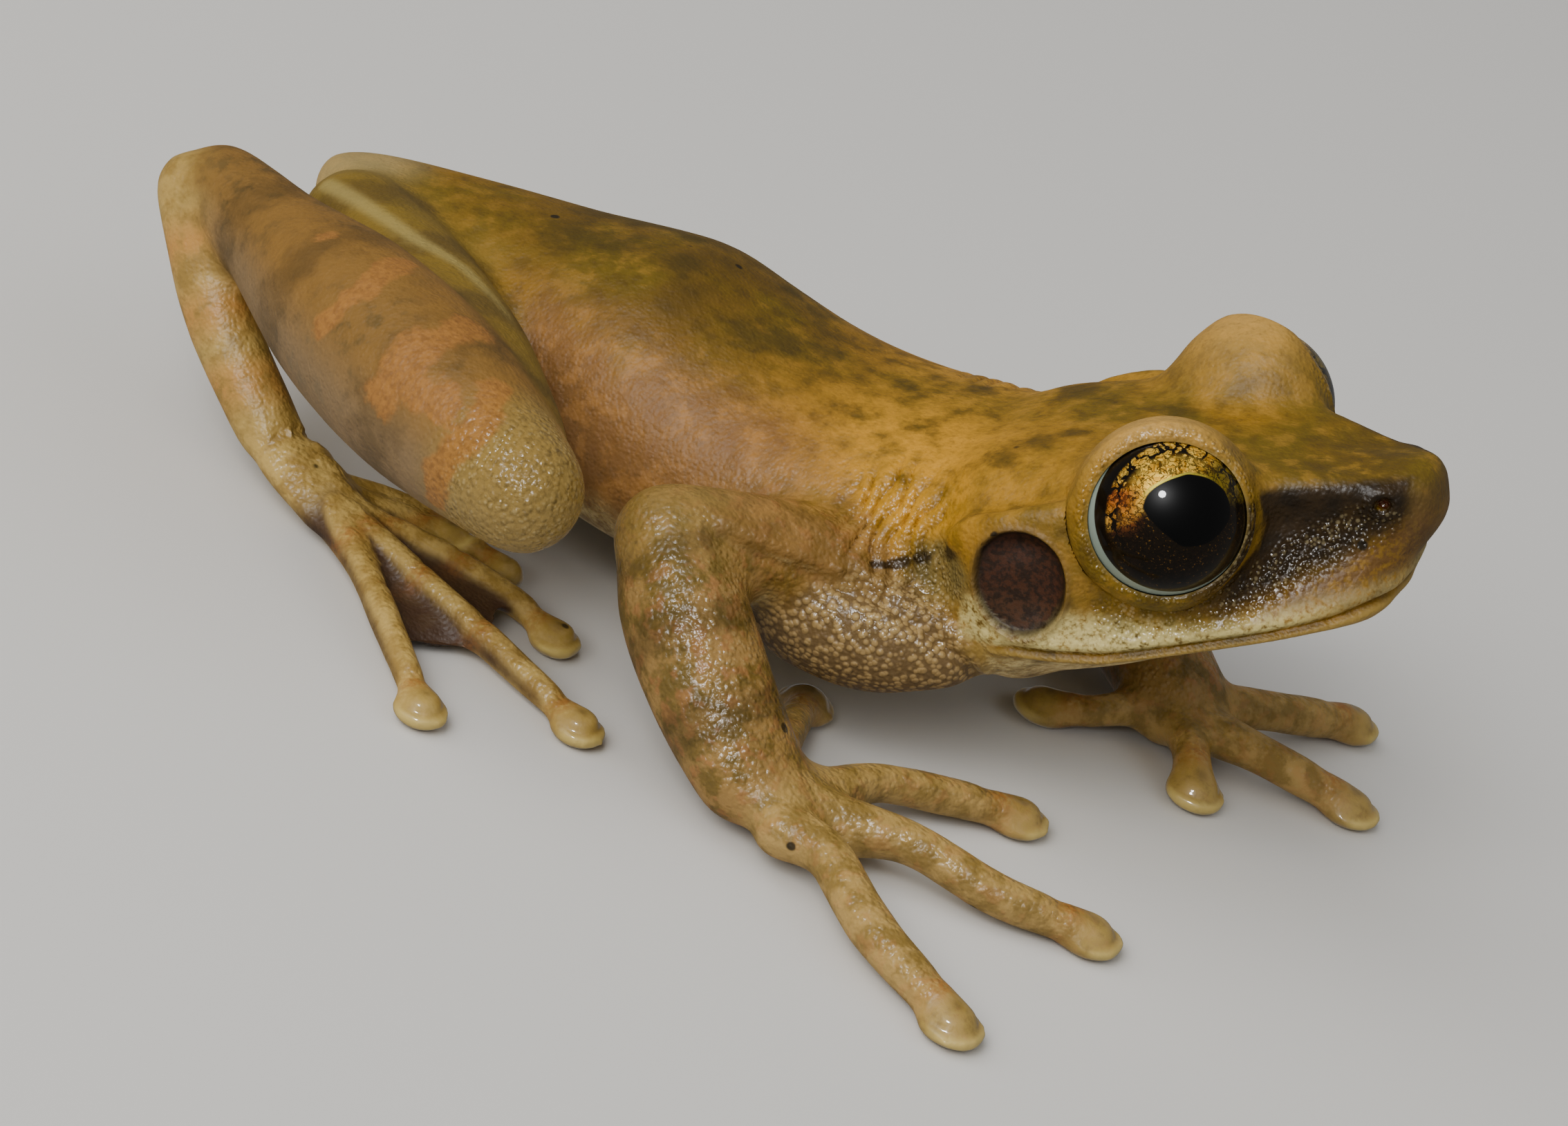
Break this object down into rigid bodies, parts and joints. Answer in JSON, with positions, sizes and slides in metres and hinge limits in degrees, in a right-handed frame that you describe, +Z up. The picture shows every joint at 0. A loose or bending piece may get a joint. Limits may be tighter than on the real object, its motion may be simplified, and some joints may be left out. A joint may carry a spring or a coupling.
{
  "type": "tree frog model",
  "caption": "Life-size still model of a slender tree frog crouching on spread hands and feet, its head raised and its large eyes open.",
  "frame": {"origin": "on the floor under the middle of the frog's bounding box", "axes": "+X the way the frog faces, +Y towards its left, +Z up; the soles and finger pads rest at Z = 0"},
  "size_m": [0.0522, 0.0456, 0.0189],
  "materials": {
    "head": "moist skin, softly glossy",
    "torso": "moist skin, softly glossy",
    "eye_left": "clear wet gloss",
    "eye_right": "clear wet gloss",
    "upper_arm_right": "moist skin, softly glossy",
    "forearm_right": "moist skin, softly glossy",
    "hand_right": "moist skin, softly glossy",
    "throat_sac_right": "moist skin, softly glossy",
    "thigh_right": "moist skin, softly glossy",
    "shank_right": "moist skin, softly glossy",
    "tarsus_right": "moist skin, softly glossy",
    "foot_right": "moist skin, softly glossy",
    "upper_arm_left": "moist skin, softly glossy",
    "forearm_left": "moist skin, softly glossy",
    "hand_left": "moist skin, softly glossy",
    "throat_sac_left": "moist skin, softly glossy",
    "thigh_left": "moist skin, softly glossy",
    "shank_left": "moist skin, softly glossy",
    "tarsus_left": "moist skin, softly glossy",
    "foot_left": "moist skin, softly glossy"
  },
  "bodies": {
    "root": {"head": "head", "torso": "torso", "eye_left": "eye_left", "eye_right": "eye_right", "upper_arm_right": "upper_arm_right", "forearm_right": "forearm_right", "hand_right": "hand_right", "throat_sac_right": "throat_sac_right", "thigh_right": "thigh_right", "shank_right": "shank_right", "tarsus_right": "tarsus_right", "foot_right": "foot_right", "upper_arm_left": "upper_arm_left", "forearm_left": "forearm_left", "hand_left": "hand_left", "throat_sac_left": "throat_sac_left", "thigh_left": "thigh_left", "shank_left": "shank_left", "tarsus_left": "tarsus_left", "foot_left": "foot_left"}
  },
  "joints": []
}
